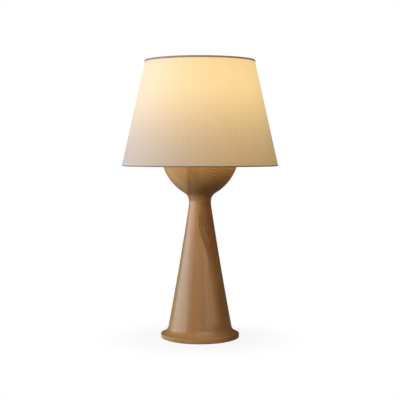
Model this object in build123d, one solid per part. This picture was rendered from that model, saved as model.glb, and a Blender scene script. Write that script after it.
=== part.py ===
from build123d import *
from math import acos, atan2, cos, hypot, pi, radians, sin, sqrt, tan
import os

# Table lamp: a turned wooden column and bowl, a screw lampholder with a bulb, and a cone-shaped fabric shade.
# Millimetres, +Z up, origin on the table under the centre of the foot. The front faces -Y, the cord inlet +Y.

# Clearances
glue_gap = 0.05
weld_gap = 0.05
spindle_gap = 0.08
thread_gap = 0.12
drop_in_gap = 0.3
turning_gap = 0.25

# Foot and column
pad_thickness = 1.5
pad_inset = 5.0
foot_diameter = 151.0
foot_thickness = 8.5
foot_top_round = 2.0
foot_bottom_round = 1.5
foot_cove_radius = 16.5
foot_ledge = 12.7
foot_ledge_slope = 16.0
neck_diameter = 42.3
column_height = 262.75
neck_ease_radius = 85.0
neck_ease_angle = 8.6

# Bowl, turned to the foot's diameter
bowl_diameter = foot_diameter
bowl_side_radius = 94.0
neck_cove_radius = 18.5
bowl_rim_round = 11.5
tenon_diameter = 26.0
tenon_length = 18.0
tenon_end_gap = 0.5

# Base plate and its screws
base_plate_ledge = 10.0
base_plate_thickness = 1.5
base_screw_count = 3
base_screw_diameter = 3.5
base_screw_head_diameter = 6.6
base_screw_length = 14.0

# Cord inlet in the back of the foot
bush_bore = 5.0
bush_diameter = 6.6
bush_head_diameter = 7.6
bush_head_thickness = 1.0
bush_seat_wall = 3.0
cord_hole_diameter = 5.4

# Hollow threaded rod and what it clamps
rod_wall = 1.4
rod_tail = 4.0
rod_hole_gap = 0.6
rod_washer_diameter = 26.0
rod_washer_thickness = 2.0
rod_nut_wall = 2.1
rod_nut_height = 5.0
seat_plate_diameter = 50.0
seat_plate_thickness = 1.5
seat_plate_round = 0.6

# Wiring
wire_diameter = 2.2
wire_bend_radius = 7.0
switch_bend_radius = 4.0
wire_gap = 0.8
wire_slack = 0.9
wire_entry = 2.5
terminal_length = 20.0
terminal_width = 16.0
terminal_height = 12.0
terminal_offset = 16.0
terminal_margin = 6.0
terminal_screw_diameter = 3.4
terminal_screw_depth = 3.0
terminal_round = 1.5

# Lampholder
cap_diameter = 42.0
cap_wall = 2.0
cap_floor = 8.0
cap_round = 4.0
lock_screw_diameter = 3.0
lock_screw_length = 9.0
spigot_length = 6.0
spigot_wall = 2.9
shoulder_seat = 3.0
shoulder_thickness = 3.0
sleeve_diameter = 39.4
sleeve_rim = 0.65
sleeve_lead = 1.0
core_thickness = 7.0
core_boss_diameter = 13.0
core_boss_height = 1.2
core_level = 8.0
socket_gap = 0.7
contact_thickness = 0.6
contact_width = 5.0
contact_rise = 3.0
side_contact_width = 4.0

# Switch in the lampholder's side
switch_width = 22.0
switch_height = 11.0
switch_headroom = 0.75
switch_offset = 6.0
spindle_diameter = 4.0
spindle_seat = 7.5
knob_diameter = 12.0
knob_length = 11.0
knob_standoff = 1.5
knob_end_wall = 3.0
knob_round = 1.2
knob_flutes = 14
knob_flute_diameter = 1.6

# Shade frame
collar_wall = 7.3
collar_height = 8.0
collar_notches = 24
collar_notch_diameter = 2.4
collar_round = 1.0
fitter_gap = 0.8
fitter_margin = 9.0
fitter_thickness = 1.6
frame_wire_diameter = 3.2
arm_count = 3
arm_bend_radius = 10.0
arm_run = 3.0
arm_start_gap = 1.0

# Shade skin
shade_bottom_diameter = 300.0
shade_top_diameter = 210.0
shade_height = 200.0
shade_below_fitter = 69.8
cover_thickness = 0.5
liner_thickness = 0.5
binding_thickness = 0.5
top_binding_depth = 3.0
bottom_binding_depth = 1.8
binding_inner_depth = 4.4
binding_round = 0.9

# Bulb
globe_diameter = 60.0
globe_wall = 1.2
globe_rise = 52.5
bulb_neck_step = 0.3
bulb_neck_length = 9.0
bulb_neck_cove = 16.0
bulb_body_wall = 1.6
bulb_deck_drop = 8.0
bulb_cap_diameter = 26.2
bulb_cap_height = 19.0
bulb_cap_wall = 0.4
bulb_tip_diameter = 9.5
bulb_tip_height = 2.0
bulb_tip_round = 1.2
bulb_insulator_height = 4.5
led_board_margin = 4.5
led_board_thickness = 1.6
led_count = 8
led_edge = 6.0
led_size = 3.0
led_height = 0.8

# Widths that follow from the sizes above
wire_spacing = wire_diameter + wire_gap
rod_bore = wire_spacing + wire_diameter + 2 * wire_slack
rod_diameter = rod_bore + 2 * rod_wall
rod_hole_diameter = rod_diameter + 2 * rod_hole_gap
recess_diameter = 2 * (terminal_offset + terminal_length + terminal_margin)
base_plate_diameter = recess_diameter + 2 * base_plate_ledge
base_screw_circle = recess_diameter + base_plate_ledge
column_radius = foot_diameter / 2 - foot_ledge
bush_start = base_plate_diameter / 2 + drop_in_gap + bush_seat_wall
socket_diameter = bulb_cap_diameter + 2 * socket_gap
core_diameter = cap_diameter - 2 * (cap_wall + thread_gap + spigot_wall + drop_in_gap)
fitter_bore = sleeve_diameter + 2 * fitter_gap
shoulder_diameter = fitter_bore + 2 * shoulder_seat
collar_diameter = sleeve_diameter + 2 * collar_wall
fitter_diameter = collar_diameter + 2 * fitter_margin
switch_end = cap_diameter / 2 - cap_wall - drop_in_gap
knob_start = cap_diameter / 2 + knob_standoff
knob_bore_depth = knob_length - knob_end_wall

# Heights of the foot, the column and the bowl
wood_bottom = pad_thickness
foot_top = wood_bottom + foot_thickness
ledge_run = foot_ledge - foot_top_round * (1 - sin(radians(foot_ledge_slope)))
ledge_level = foot_top + ledge_run * tan(radians(foot_ledge_slope))
bush_level = wood_bottom + foot_thickness / 2
base_plate_top = wood_bottom + base_plate_thickness
wire_level = base_plate_top + terminal_height / 2
rod_bottom = wire_level + wire_bend_radius + wire_entry
recess_top = rod_bottom + rod_tail + rod_nut_height + rod_washer_thickness
neck_level = wood_bottom + column_height
neck_radius = neck_diameter / 2
bowl_radius = bowl_diameter / 2
cove_reach = neck_radius + neck_cove_radius - (bowl_radius - bowl_side_radius)
bowl_level = neck_level + sqrt((bowl_side_radius + neck_cove_radius) ** 2 - cove_reach ** 2)
bowl_top = bowl_level + bowl_rim_round

# The largest cove that still ends on the foot's ledge
column_lean = atan2(column_radius - neck_radius, neck_level - ledge_level)
cove_turn = pi / 2 - column_lean - radians(foot_ledge_slope)
foot_cove_limit = 0.95 * ledge_run / tan(cove_turn / 2)

# Heights of the lampholder, the shade and the bulb
cap_bottom = bowl_top + seat_plate_thickness
cap_floor_top = cap_bottom + cap_floor
switch_bottom = cap_floor_top + turning_gap
switch_top = switch_bottom + switch_height
switch_level = (switch_bottom + switch_top) / 2
cap_top = switch_top + switch_headroom + spigot_length
shoulder_top = cap_top + shoulder_thickness
core_top = cap_top + core_level
core_bottom = core_top - core_thickness
contact_top = core_top + contact_rise + contact_thickness
fitter_bottom = shoulder_top + turning_gap
fitter_top = fitter_bottom + fitter_thickness
shade_bottom = fitter_bottom - shade_below_fitter
bulb_bottom = contact_top + turning_gap
bulb_cap_bottom = bulb_bottom + bulb_tip_height + bulb_insulator_height
bulb_cap_top = bulb_cap_bottom + bulb_cap_height
sleeve_top = bulb_cap_top + sleeve_rim

# The bulb's side runs straight from its neck until it touches the globe
globe_centre = bulb_cap_top + globe_rise
globe_radius = globe_diameter / 2
bulb_neck_radius = bulb_cap_diameter / 2 - bulb_neck_step
bulb_neck_top = bulb_cap_top + bulb_neck_length
neck_distance = hypot(bulb_neck_radius, globe_centre - bulb_neck_top)
seam_angle = atan2(bulb_neck_top - globe_centre, bulb_neck_radius) + acos(globe_radius / neck_distance)
seam_radius = globe_radius * cos(seam_angle)
globe_seam = globe_centre + globe_radius * sin(seam_angle)
bulb_lean = (seam_radius - bulb_neck_radius) / (globe_seam - bulb_neck_top)
bulb_deck = globe_seam - bulb_deck_drop
bulb_deck_radius = seam_radius - bulb_body_wall - bulb_deck_drop * bulb_lean
led_board_diameter = 2 * (bulb_deck_radius - led_board_margin)

# Slant of the shade
shade_slant = atan2((shade_bottom_diameter - shade_top_diameter) / 2, shade_height)
shade_length = hypot((shade_bottom_diameter - shade_top_diameter) / 2, shade_height)
liner_depth = cover_thickness + glue_gap
ring_depth = liner_depth + liner_thickness + glue_gap + frame_wire_diameter / 2
ring_inset = frame_wire_diameter / 2 + glue_gap
skin_depth = ring_depth + frame_wire_diameter / 2


def turned(*outline):
    """A solid of revolution about Z from a closed outline drawn as radius and height."""
    return revolve(make_face([Plane.XZ * edge for edge in outline]), Axis.Z)


def lathe(points, rounds=None):
    """A turned solid from corner points, with a round for each corner that is named by its place."""
    radii = [0.0] * len(points)
    for place, radius in (rounds or {}).items():
        radii[place] = radius
    return turned(FilletPolyline(*points, radius=radii, close=True))


def ring(outer, inner, bottom, top):
    """A plain ring or washer between two diameters and two heights."""
    return lathe([(inner / 2, bottom), (outer / 2, bottom), (outer / 2, top), (inner / 2, top)])


def along(plane, diameter, length):
    """A cylinder that starts at a plane's origin and runs along its normal."""
    return plane * Cylinder(diameter / 2, length, align=(Align.CENTER, Align.CENTER, Align.MIN))


def disc(diameter, bottom, top):
    """A plain upright cylinder between two heights."""
    return along(Plane.XY.offset(bottom), diameter, top - bottom)


def back(height, start):
    """A plane that faces the back of the lamp."""
    return Plane(origin=(0, start, height), x_dir=(1, 0, 0), z_dir=(0, 1, 0))


def side(height, start):
    """A plane that faces the switch side of the lampholder."""
    return Plane(origin=(start, 0, height), x_dir=(0, 1, 0), z_dir=(1, 0, 0))


def around(count, radius, start=0.0):
    """Even places on a circle, each turned to face outwards."""
    return [Rot(0, 0, start + 360 * i / count) * Pos(radius, 0, 0) for i in range(count)]


def union(shapes):
    """The solids of several shapes in one part."""
    return Part() + list(shapes)


def make_felt_pad():
    return disc(foot_diameter - 2 * pad_inset, 0, pad_thickness)


def column_outline():
    """The closed outline of the column: the foot's rim, the sloping ledge, the hollow side, then the bores."""
    foot_radius = foot_diameter / 2
    slope = radians(foot_ledge_slope)
    rim_start = foot_radius - foot_top_round * (1 - sin(slope))
    rim_top = foot_top - foot_top_round * cos(slope)
    rabbet_radius = base_plate_diameter / 2 + drop_in_gap
    socket_radius = tenon_diameter / 2 + drop_in_gap / 2
    socket_bottom = neck_level - tenon_length - tenon_end_gap
    hole_radius = rod_hole_diameter / 2
    ease = radians(neck_ease_angle)
    ease_start = (neck_radius + neck_ease_radius * (1 - cos(ease)), neck_level - neck_ease_radius * sin(ease))
    side_end = (column_radius, ledge_level)
    return [
        Line((rabbet_radius, wood_bottom), (foot_radius - foot_bottom_round, wood_bottom)),
        TangentArc((foot_radius - foot_bottom_round, wood_bottom),
                   (foot_radius, wood_bottom + foot_bottom_round), tangent=(1, 0)),
        Line((foot_radius, wood_bottom + foot_bottom_round), (foot_radius, rim_top)),
        TangentArc((foot_radius, rim_top), (rim_start, foot_top), tangent=(0, 1)),
        Line((rim_start, foot_top), side_end),
        TangentArc(ease_start, side_end, tangent=(sin(ease), -cos(ease))),
        TangentArc((neck_radius, neck_level), ease_start, tangent=(0, -1)),
        Polyline((neck_radius, neck_level), (socket_radius, neck_level), (socket_radius, socket_bottom),
                 (hole_radius, socket_bottom), (hole_radius, recess_top), (recess_diameter / 2, recess_top),
                 (recess_diameter / 2, base_plate_top), (rabbet_radius, base_plate_top),
                 (rabbet_radius, wood_bottom)),
    ]


def make_column():
    """The foot and column, bored for the rod, the tenon, the wiring, the cord inlet and the plate's screws."""
    body = turned(*column_outline())
    corner = body.edges().filter_by(GeomType.CIRCLE).sort_by_distance((column_radius, 0, ledge_level))[0]
    body = fillet(corner, min(foot_cove_radius, foot_cove_limit))
    body -= along(back(bush_level, 0), cord_hole_diameter, foot_diameter / 2)
    body -= along(back(bush_level, bush_start), bush_diameter + drop_in_gap, foot_diameter / 2)
    for place in base_screw_places():
        body -= place * countersunk_screw(drop_in_gap / 2)
    return body


def base_screw_places():
    """The plate's screws stand either side of the cord inlet and at the front."""
    return around(base_screw_count, base_screw_circle / 2, -90)


def make_bowl():
    """The bowl with its tenon: a cove at the neck runs into the round side, which turns over to a flat top."""
    hole_radius = rod_hole_diameter / 2
    tenon_radius = tenon_diameter / 2
    tenon_bottom = neck_level - tenon_length
    side_centre = bowl_radius - bowl_side_radius
    share = bowl_side_radius / (bowl_side_radius + neck_cove_radius)
    meeting = (side_centre + share * cove_reach, bowl_level - share * (bowl_level - neck_level))
    return turned(
        Polyline((hole_radius, bowl_top), (hole_radius, tenon_bottom), (tenon_radius, tenon_bottom),
                 (tenon_radius, neck_level), (neck_radius, neck_level)),
        TangentArc((neck_radius, neck_level), meeting, tangent=(0, 1)),
        TangentArc((bowl_radius, bowl_level), meeting, tangent=(0, -1)),
        TangentArc((bowl_radius, bowl_level), (bowl_radius - bowl_rim_round, bowl_top), tangent=(0, 1)),
        Line((bowl_radius - bowl_rim_round, bowl_top), (hole_radius, bowl_top)),
    )


def countersunk_screw(clearance=0.0):
    """A countersunk wood screw, head down, standing on the underside of the foot."""
    head = base_screw_head_diameter / 2 + clearance
    shank = base_screw_diameter / 2 + clearance
    top = wood_bottom + base_screw_length + clearance
    neck = wood_bottom + head - shank
    return lathe([(0, wood_bottom), (head, wood_bottom), (shank, neck), (shank, top), (0, top)])


def make_base_plate():
    plate = disc(base_plate_diameter, wood_bottom, base_plate_top)
    for place in base_screw_places():
        plate -= place * countersunk_screw(glue_gap)
    return plate


def make_base_plate_screws():
    return union(place * countersunk_screw() for place in base_screw_places())


def make_cord_bush():
    """A flanged sleeve, pushed in from the back until its head meets the rim of the foot."""
    foot_radius = foot_diameter / 2
    start = back(bush_level, bush_start + drop_in_gap)
    body = along(start, bush_diameter, foot_radius - bush_start - drop_in_gap)
    head = along(back(bush_level, foot_radius), bush_head_diameter, bush_head_thickness)
    head = chamfer(head.edges().group_by(Axis.Y)[-1], bush_head_thickness / 2)
    return body + head - along(start, bush_bore, foot_radius)


def make_terminal_block():
    """A two-way block on the base plate, with a clamp screw hole over each way."""
    block = Pos(-terminal_offset, 0, base_plate_top) * Box(
        terminal_length, terminal_width, terminal_height, align=(Align.MAX, Align.CENTER, Align.MIN))
    block = fillet(block.edges().filter_by(Axis.Z), terminal_round)
    top = base_plate_top + terminal_height
    for x in (terminal_length / 4, terminal_length * 3 / 4):
        for y in (-terminal_width / 4, terminal_width / 4):
            hole = disc(terminal_screw_diameter, top - terminal_screw_depth, top)
            block -= Pos(-terminal_offset - x, y, 0) * hole
    return block


def make_wire(y, points, bends):
    """A round wire in an upright plane at one distance from the middle, with an arc at each corner."""
    upright = Plane(origin=(0, y, 0), x_dir=(1, 0, 0), z_dir=(0, -1, 0))
    path = upright * FilletPolyline(*points, radius=bends)
    return sweep((path ^ 0) * Circle(wire_diameter / 2), path)


def make_neutral_wire():
    """From the terminal block up through the rod to the core of the lampholder."""
    route = [(-terminal_offset, wire_level), (0, wire_level), (0, core_bottom)]
    return make_wire(-wire_spacing / 2, route, [wire_bend_radius])


def make_live_wire():
    """From the terminal block up through the rod, then over to the switch."""
    route = [(-terminal_offset, wire_level), (0, wire_level), (0, switch_level), (switch_offset, switch_level)]
    return make_wire(wire_spacing / 2, route, [wire_bend_radius, switch_bend_radius])


def make_switched_wire():
    """From the switch up to the core of the lampholder."""
    place = Pos((switch_offset + switch_end) / 2, 0, 0)
    return place * disc(wire_diameter, switch_top, core_bottom)


def make_threaded_rod():
    return ring(rod_diameter, rod_bore, rod_bottom, cap_floor_top)


def make_rod_washer():
    bottom = recess_top - rod_washer_thickness
    return ring(rod_washer_diameter, rod_diameter + 2 * drop_in_gap, bottom, recess_top)


def make_rod_nut():
    top = recess_top - rod_washer_thickness
    corner_radius = (rod_diameter / 2 + rod_nut_wall) / cos(pi / 6)
    nut = Pos(0, 0, top - rod_nut_height) * extrude(RegularPolygon(corner_radius, 6), rod_nut_height)
    return nut - disc(rod_diameter + 2 * thread_gap, top - rod_nut_height, top)


def make_seat_plate():
    """The round plate that spreads the lampholder's load on the bowl's top."""
    inner = rod_diameter / 2 + drop_in_gap
    outer = seat_plate_diameter / 2
    top = bowl_top + seat_plate_thickness
    return lathe([(inner, bowl_top), (outer, bowl_top), (outer, top), (inner, top)], {2: seat_plate_round})


def make_holder_cap():
    """The cup of the lampholder, screwed on the rod, with holes for the switch spindle and the lock screw."""
    hole = rod_diameter / 2 + thread_gap
    outer = cap_diameter / 2
    inner = outer - cap_wall
    body = lathe([(hole, cap_bottom), (outer, cap_bottom), (outer, cap_top), (inner, cap_top),
                  (inner, cap_floor_top), (hole, cap_floor_top)], {1: cap_round})
    body -= along(side(switch_level, inner / 2), spindle_diameter + 2 * turning_gap, cap_diameter)
    return body - along(lock_screw_plane(), lock_screw_diameter + 2 * thread_gap, cap_diameter)


def lock_screw_plane():
    """The lock screw points from the front at the rod, half way up the cap's floor."""
    return Plane(origin=(0, -rod_diameter / 2 - thread_gap, (cap_bottom + cap_floor_top) / 2),
                 x_dir=(1, 0, 0), z_dir=(0, -1, 0))


def make_holder_lock_screw():
    return along(lock_screw_plane(), lock_screw_diameter, lock_screw_length)


def make_holder_skirt():
    """The socket: a spigot in the cap, the shade's shoulder, and the threaded sleeve round the bulb's cap."""
    spigot = cap_diameter / 2 - cap_wall - thread_gap
    shoulder = shoulder_diameter / 2
    sleeve = sleeve_diameter / 2
    chamber = core_diameter / 2 + drop_in_gap
    socket = socket_diameter / 2
    bottom = cap_top - spigot_length
    return lathe([(chamber, bottom), (spigot, bottom), (spigot, cap_top), (shoulder, cap_top),
                  (shoulder, shoulder_top), (sleeve, shoulder_top), (sleeve, sleeve_top), (socket, sleeve_top),
                  (socket, core_top), (chamber, core_top)], {4: sleeve_lead, 6: sleeve_lead})


def make_holder_core():
    """The insulating disc that carries the contacts, up against the step inside the socket."""
    core = disc(core_diameter, core_bottom, core_top)
    return core + disc(core_boss_diameter, core_top, core_top + core_boss_height)


def make_centre_contact():
    """A sprung strip that rises from the core's boss to the tip of the bulb."""
    half = core_boss_diameter / 2 - contact_width / 2
    low = core_top + core_boss_height + contact_thickness / 2
    high = contact_top - contact_thickness / 2
    line = Polyline((-half, low), (-half / 2, low), (half / 2, high), (half, high))
    return extrude(Plane.XZ * trace(line, contact_thickness), contact_width / 2, both=True)


def make_side_contact():
    """An upright strip on the core that reaches the lower edge of the bulb's cap."""
    outer = sqrt((socket_diameter / 2 - drop_in_gap) ** 2 - side_contact_width ** 2 / 4)
    height = bulb_cap_bottom - turning_gap - core_top
    return Pos(0, outer, core_top) * Box(side_contact_width, contact_thickness, height,
                                         align=(Align.CENTER, Align.MAX, Align.MIN))


def make_switch_body():
    """The switch, shaped to the inside of the cap, beside the wires, with a bearing hole for the spindle."""
    block = Pos(switch_offset, 0, switch_bottom) * Box(cap_diameter, switch_width, switch_height,
                                                       align=(Align.MIN, Align.CENTER, Align.MIN))
    body = block & disc(2 * switch_end, switch_bottom, switch_top)
    hole_start = side(switch_level, switch_end - spindle_seat - drop_in_gap)
    return body - along(hole_start, spindle_diameter + 2 * spindle_gap, cap_diameter)


def make_switch_spindle():
    length = spindle_seat + knob_start - switch_end + knob_bore_depth - drop_in_gap
    return along(side(switch_level, switch_end - spindle_seat), spindle_diameter, length)


def make_switch_knob():
    """A fluted knob with a rounded end and a blind hole for the spindle."""
    knob = along(side(switch_level, knob_start), knob_diameter, knob_length)
    knob = fillet(knob.edges().group_by(Axis.X)[-1], knob_round)
    start = side(switch_level, knob_start + knob_length / 4)
    for place in around(knob_flutes, knob_diameter / 2):
        knob -= start * place * Cylinder(knob_flute_diameter / 2, knob_length,
                                         align=(Align.CENTER, Align.CENTER, Align.MIN))
    return knob - along(side(switch_level, knob_start), spindle_diameter + 2 * glue_gap, knob_bore_depth)


def make_shade_collar():
    """The threaded ring with finger notches that holds the shade's fitter on the shoulder."""
    inner = sleeve_diameter / 2 + thread_gap
    outer = collar_diameter / 2
    bottom = fitter_top + turning_gap
    top = bottom + collar_height
    body = lathe([(inner, bottom), (outer, bottom), (outer, top), (inner, top)], {2: collar_round})
    for place in around(collar_notches, outer):
        body -= place * disc(collar_notch_diameter, bottom, top)
    return body


def make_shade_fitter():
    return ring(fitter_diameter, fitter_bore, fitter_bottom, fitter_top)


def slant(depth, height):
    """A point on the shade, by its depth behind the outer face and its height up the slant."""
    radius = shade_bottom_diameter / 2 - height * sin(shade_slant) - depth * cos(shade_slant)
    return radius, shade_bottom + height * cos(shade_slant) - depth * sin(shade_slant)


def skin(outer_depth, thickness):
    """One layer of the shade, from the lower edge to the upper edge."""
    return lathe([slant(outer_depth, 0), slant(outer_depth, shade_length),
                  slant(outer_depth + thickness, shade_length), slant(outer_depth + thickness, 0)])


def frame_ring(height, clearance=0.0):
    """A wire ring behind the shade's lining at one height up the slant."""
    radius, level = slant(ring_depth, height)
    return Pos(0, 0, level) * Torus(radius, frame_wire_diameter / 2 + clearance)


def make_shade_arms(clearance=0.0):
    """Three wires, each welded on top of the fitter, bent up and welded to the top ring."""
    level = fitter_top + weld_gap + frame_wire_diameter / 2
    start = collar_diameter / 2 + arm_start_gap
    bend = fitter_diameter / 2 + arm_run
    route = [(start, level), (bend, level), slant(ring_depth, shade_length - ring_inset)]
    path = Plane.XZ * FilletPolyline(*route, radius=arm_bend_radius)
    arm = sweep((path ^ 0) * Circle(frame_wire_diameter / 2 + clearance), path)
    arm -= frame_ring(shade_length - ring_inset, weld_gap)
    return union(place * arm for place in around(arm_count, 0, 90))


def binding(edge, way, outer_depth):
    """A tape folded over one edge of the shade, round the skin and the wire ring; way is +1 up or -1 down."""
    inner = skin_depth + glue_gap
    outline = [(-glue_gap, outer_depth), (-glue_gap - binding_thickness, outer_depth),
               (-glue_gap - binding_thickness, -glue_gap - binding_thickness),
               (inner + binding_thickness, -glue_gap - binding_thickness),
               (inner + binding_thickness, binding_inner_depth), (inner, binding_inner_depth),
               (inner, -glue_gap), (-glue_gap, -glue_gap)]
    points = [slant(depth, edge - way * drop) for depth, drop in outline]
    return lathe(points, {2: binding_round, 3: binding_round})


def make_shade_top_binding():
    """The upper binding, snipped where the arms pass through it."""
    return binding(shade_length, 1, top_binding_depth) - make_shade_arms(glue_gap)


def make_bulb_tip():
    top = bulb_bottom + bulb_tip_height
    radius = bulb_tip_diameter / 2
    return lathe([(0, bulb_bottom), (radius, bulb_bottom), (radius, top), (0, top)], {1: bulb_tip_round})


def make_bulb_insulator():
    """The cone between the tip and the threaded cap."""
    bottom = bulb_bottom + bulb_tip_height
    wide = bulb_cap_diameter / 2 - bulb_cap_wall
    narrow = bulb_tip_diameter / 2
    return lathe([(0, bottom), (narrow, bottom), (wide, bulb_cap_bottom), (0, bulb_cap_bottom)])


def make_bulb_cap():
    return ring(bulb_cap_diameter, bulb_cap_diameter - 2 * bulb_cap_wall, bulb_cap_bottom, bulb_cap_top)


def make_bulb_body():
    """The bulb's neck and flared side, plugged into the threaded cap, with a deck for the light board."""
    plug = bulb_cap_diameter / 2 - bulb_cap_wall - glue_gap
    return lathe([(0, bulb_cap_bottom), (plug, bulb_cap_bottom), (plug, bulb_cap_top),
                  (bulb_neck_radius, bulb_cap_top), (bulb_neck_radius, bulb_neck_top), (seam_radius, globe_seam),
                  (seam_radius - bulb_body_wall, globe_seam), (bulb_deck_radius, bulb_deck), (0, bulb_deck)],
                 {4: bulb_neck_cove})


def make_led_board():
    """The round light board on the bulb's deck, with its ring of light chips."""
    top = bulb_deck + led_board_thickness
    board = disc(led_board_diameter, bulb_deck, top)
    for place in around(led_count, led_board_diameter / 2 - led_edge):
        board += place * Pos(0, 0, top) * Box(led_size, led_size, led_height,
                                              align=(Align.CENTER, Align.CENTER, Align.MIN))
    return board


def make_bulb_globe():
    """The opal globe, a hollow ball cut off at its seam with the body."""
    shell = Pos(0, 0, globe_centre) * (Sphere(globe_radius) - Sphere(globe_radius - globe_wall))
    return shell - disc(2 * globe_diameter, globe_centre - globe_diameter, globe_seam)


nodes = {
    "felt_pad": make_felt_pad(),
    "column": make_column(),
    "bowl": make_bowl(),
    "base_plate": make_base_plate(),
    "base_plate_screws": make_base_plate_screws(),
    "cord_bush": make_cord_bush(),
    "terminal_block": make_terminal_block(),
    "live_wire": make_live_wire(),
    "neutral_wire": make_neutral_wire(),
    "switched_wire": make_switched_wire(),
    "threaded_rod": make_threaded_rod(),
    "rod_washer": make_rod_washer(),
    "rod_nut": make_rod_nut(),
    "seat_plate": make_seat_plate(),
    "holder_cap": make_holder_cap(),
    "holder_lock_screw": make_holder_lock_screw(),
    "holder_skirt": make_holder_skirt(),
    "holder_core": make_holder_core(),
    "centre_contact": make_centre_contact(),
    "side_contact": make_side_contact(),
    "switch_body": make_switch_body(),
    "switch_spindle": make_switch_spindle(),
    "switch_knob": make_switch_knob(),
    "shade_collar": make_shade_collar(),
    "shade_fitter": make_shade_fitter(),
    "shade_arms": make_shade_arms(),
    "shade_top_ring": frame_ring(shade_length - ring_inset),
    "shade_bottom_ring": frame_ring(ring_inset),
    "shade_liner": skin(liner_depth, liner_thickness),
    "shade_cover": skin(0, cover_thickness),
    "shade_top_binding": make_shade_top_binding(),
    "shade_bottom_binding": binding(0, -1, bottom_binding_depth),
    "bulb_tip": make_bulb_tip(),
    "bulb_insulator": make_bulb_insulator(),
    "bulb_cap": make_bulb_cap(),
    "bulb_body": make_bulb_body(),
    "led_board": make_led_board(),
    "bulb_globe": make_bulb_globe(),
}

os.makedirs("parts", exist_ok=True)
for name, shape in nodes.items():
    export_step(shape, f"parts/{name}.step")
    print(name, round(shape.volume, 1))
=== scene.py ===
"""Looks of a table lamp: a turned wooden column and bowl under a lit cone of woven cloth.

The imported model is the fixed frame, in metres, with the front facing -Y. Each sub-assembly is a class that
builds the pieces which plain solids can't give and dresses the rest in finishes named for the real material.
"""

from __future__ import annotations

import logging
import math
from collections.abc import Callable, Mapping, Sequence
from dataclasses import dataclass
from enum import Enum

import bmesh
import bpy
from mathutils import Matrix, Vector

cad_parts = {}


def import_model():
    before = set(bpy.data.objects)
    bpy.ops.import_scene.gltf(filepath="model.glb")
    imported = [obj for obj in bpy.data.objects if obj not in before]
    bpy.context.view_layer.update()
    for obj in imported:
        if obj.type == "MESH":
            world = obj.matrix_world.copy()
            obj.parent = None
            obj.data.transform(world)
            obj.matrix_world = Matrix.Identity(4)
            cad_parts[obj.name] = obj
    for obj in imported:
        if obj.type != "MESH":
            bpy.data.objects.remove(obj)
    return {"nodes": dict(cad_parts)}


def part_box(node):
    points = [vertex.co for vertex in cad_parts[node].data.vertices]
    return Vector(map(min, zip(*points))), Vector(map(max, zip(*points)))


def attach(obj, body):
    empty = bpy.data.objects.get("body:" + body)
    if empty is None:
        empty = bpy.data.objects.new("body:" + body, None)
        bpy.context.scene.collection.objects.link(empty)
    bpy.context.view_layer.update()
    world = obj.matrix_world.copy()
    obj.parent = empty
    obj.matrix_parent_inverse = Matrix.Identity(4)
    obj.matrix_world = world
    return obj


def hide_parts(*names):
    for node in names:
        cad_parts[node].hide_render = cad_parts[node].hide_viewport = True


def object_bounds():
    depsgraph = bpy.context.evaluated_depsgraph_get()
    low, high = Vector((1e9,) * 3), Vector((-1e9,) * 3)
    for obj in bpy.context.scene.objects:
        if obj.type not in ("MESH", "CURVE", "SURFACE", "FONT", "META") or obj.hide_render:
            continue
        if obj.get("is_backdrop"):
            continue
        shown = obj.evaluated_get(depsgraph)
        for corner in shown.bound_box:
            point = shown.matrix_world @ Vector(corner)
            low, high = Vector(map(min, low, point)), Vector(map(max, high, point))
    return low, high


MM = 0.001
STEPS_ROUND = 128
SHARP_ANGLE = math.radians(38)
# Points this close are one point, and radii this close are one radius.
WELD = 1e-7
CLOSE = 0.01 * MM
WHITE = (1.0, 1.0, 1.0, 1.0)
# The lit side of the studio, as a way from the lamp: to the left of the picture and in front. Shiny things
# see the studio go from dark to white between these two cosines of the angle to it.
LIT_SIDE = (-0.6, -0.8, 0.0)
LIT_EDGE = (-0.34, 0.26)

Colour = tuple[float, float, float, float]
Triple = tuple[float, float, float]
Pair = tuple[float, float]
Outline = Sequence[Pair]
Relief = Callable[[float, float, float], float]
Tree = bpy.types.NodeTree
Socket = bpy.types.NodeSocket
Thing = bpy.types.Object

log = logging.getLogger("table_lamp")


def linear(code: str) -> Colour:
    """Turns an sRGB hex colour into the linear colour that a shader takes.

    Args:
        code: The colour, as #RRGGBB.

    Returns:
        Linear red, green and blue, with an alpha of 1.
    """
    parts = [int(code[i:i + 2], 16) / 255 for i in (1, 3, 5)]
    red, green, blue = (p / 12.92 if p <= 0.04045 else ((p + 0.055) / 1.055) ** 2.4 for p in parts)
    return red, green, blue, 1.0


def add(tree: Tree, kind: str, inputs: Mapping[str | int, object] | None = None, out: str | int = 0,
        stops: Sequence[tuple[float, Colour]] = (), **settings: object) -> Socket | None:
    """Adds one node with its settings and links.

    Args:
        tree: The node tree to add to.
        kind: The node's type, without its ShaderNode prefix.
        inputs: What goes into each input: a socket to link from, or a plain value.
        out: Which output is handed on.
        stops: The places and colours of a colour ramp.
        **settings: Attributes of the node itself.

    Returns:
        That output, or None for a node that has none; the node is its .node.
    """
    node = tree.nodes.new("ShaderNode" + kind)
    for name, value in settings.items():
        setattr(node, name, value)
    for key, value in (inputs or {}).items():
        if isinstance(value, Socket):
            tree.links.new(value, node.inputs[key])
        else:
            node.inputs[key].default_value = value
    for place, (position, colour) in enumerate(stops):
        ramp = node.color_ramp.elements
        stop = ramp[place] if place < len(ramp) else ramp.new(position)
        stop.position = position
        stop.color = colour
    return node.outputs[out] if node.outputs else None


def point_in_mm(tree: Tree, grain: Triple = (1.0, 1.0, 1.0)) -> Socket:
    """The point on the piece, counted in grains of a real size.

    Args:
        tree: The material's node tree.
        grain: How long one grain of the pattern is along X, Y and Z, in millimetres.

    Returns:
        A vector that goes up by 1 for each grain.
    """
    here = add(tree, "TexCoord", out="Object")
    counts = tuple(1 / (MM * size) for size in grain)
    return add(tree, "VectorMath", {0: here, 1: counts}, operation="MULTIPLY")


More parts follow.
